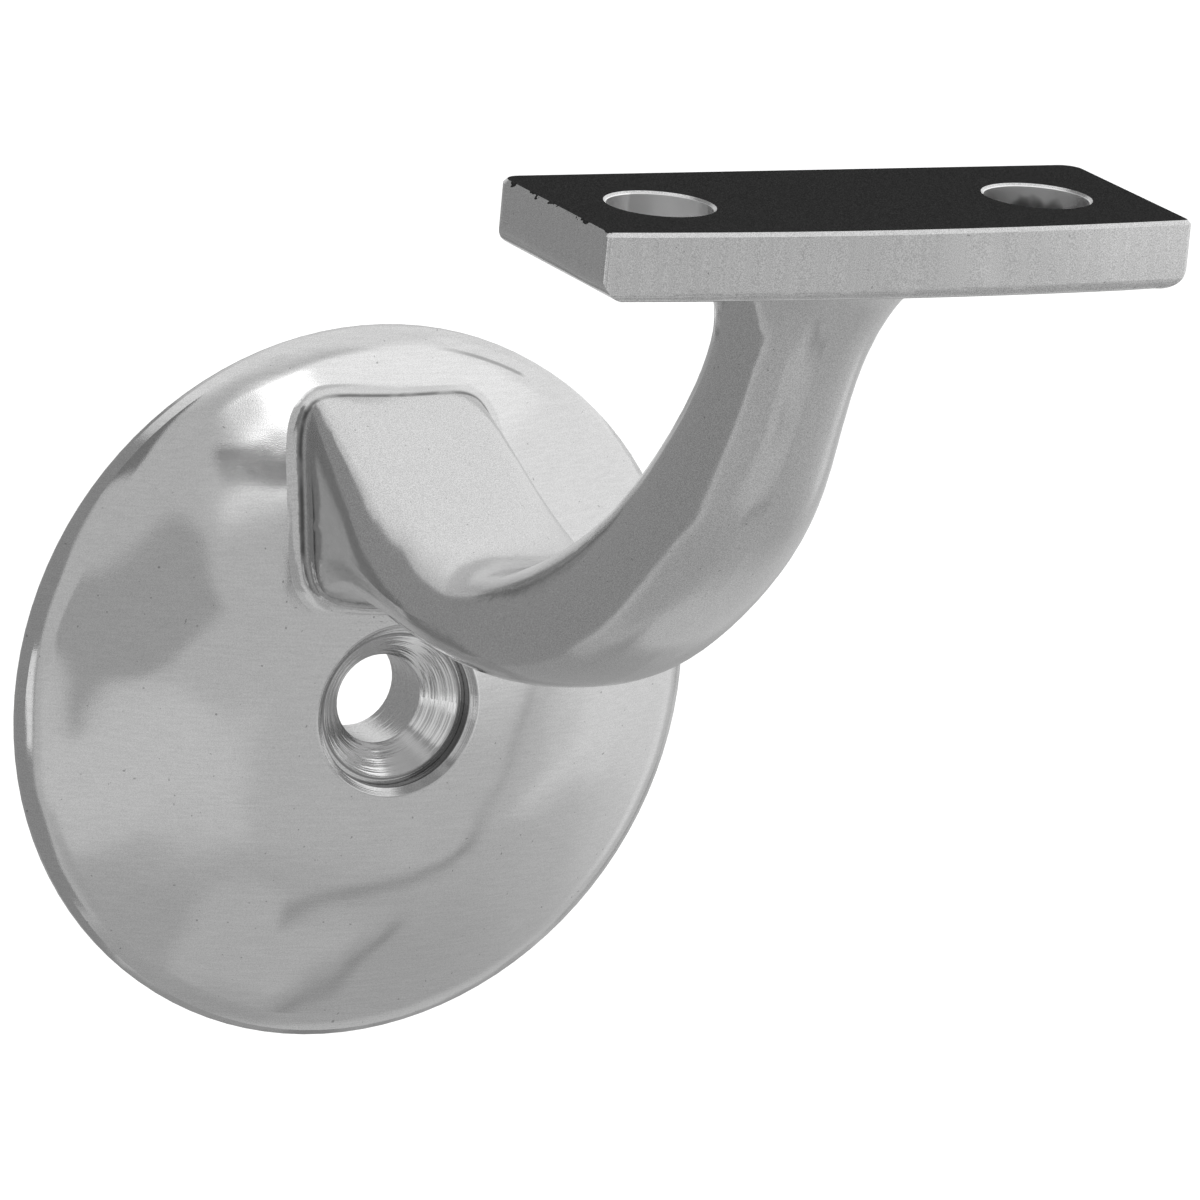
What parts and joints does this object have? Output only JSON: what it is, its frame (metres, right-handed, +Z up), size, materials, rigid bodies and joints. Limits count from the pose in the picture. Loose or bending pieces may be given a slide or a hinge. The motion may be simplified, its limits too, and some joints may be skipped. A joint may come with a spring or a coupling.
{
  "type": "handrail bracket",
  "caption": "Wall-mounted handrail bracket, one casting: a domed round rose with a countersunk screw hole, a curved arm and a flat saddle with bolt holes for the rail.",
  "frame": {"origin": "centre of the rose's screw hole in the plane of the wall", "axes": "+X along the rail, -Y straight out from the wall, +Z up, square to the saddle's top face"},
  "size_m": [0.07, 0.1005, 0.1032],
  "materials": {
    "casting": "polished casting, satin on the arm and saddle"
  },
  "bodies": {
    "root": {"bracket_casting": "casting"}
  },
  "joints": []
}
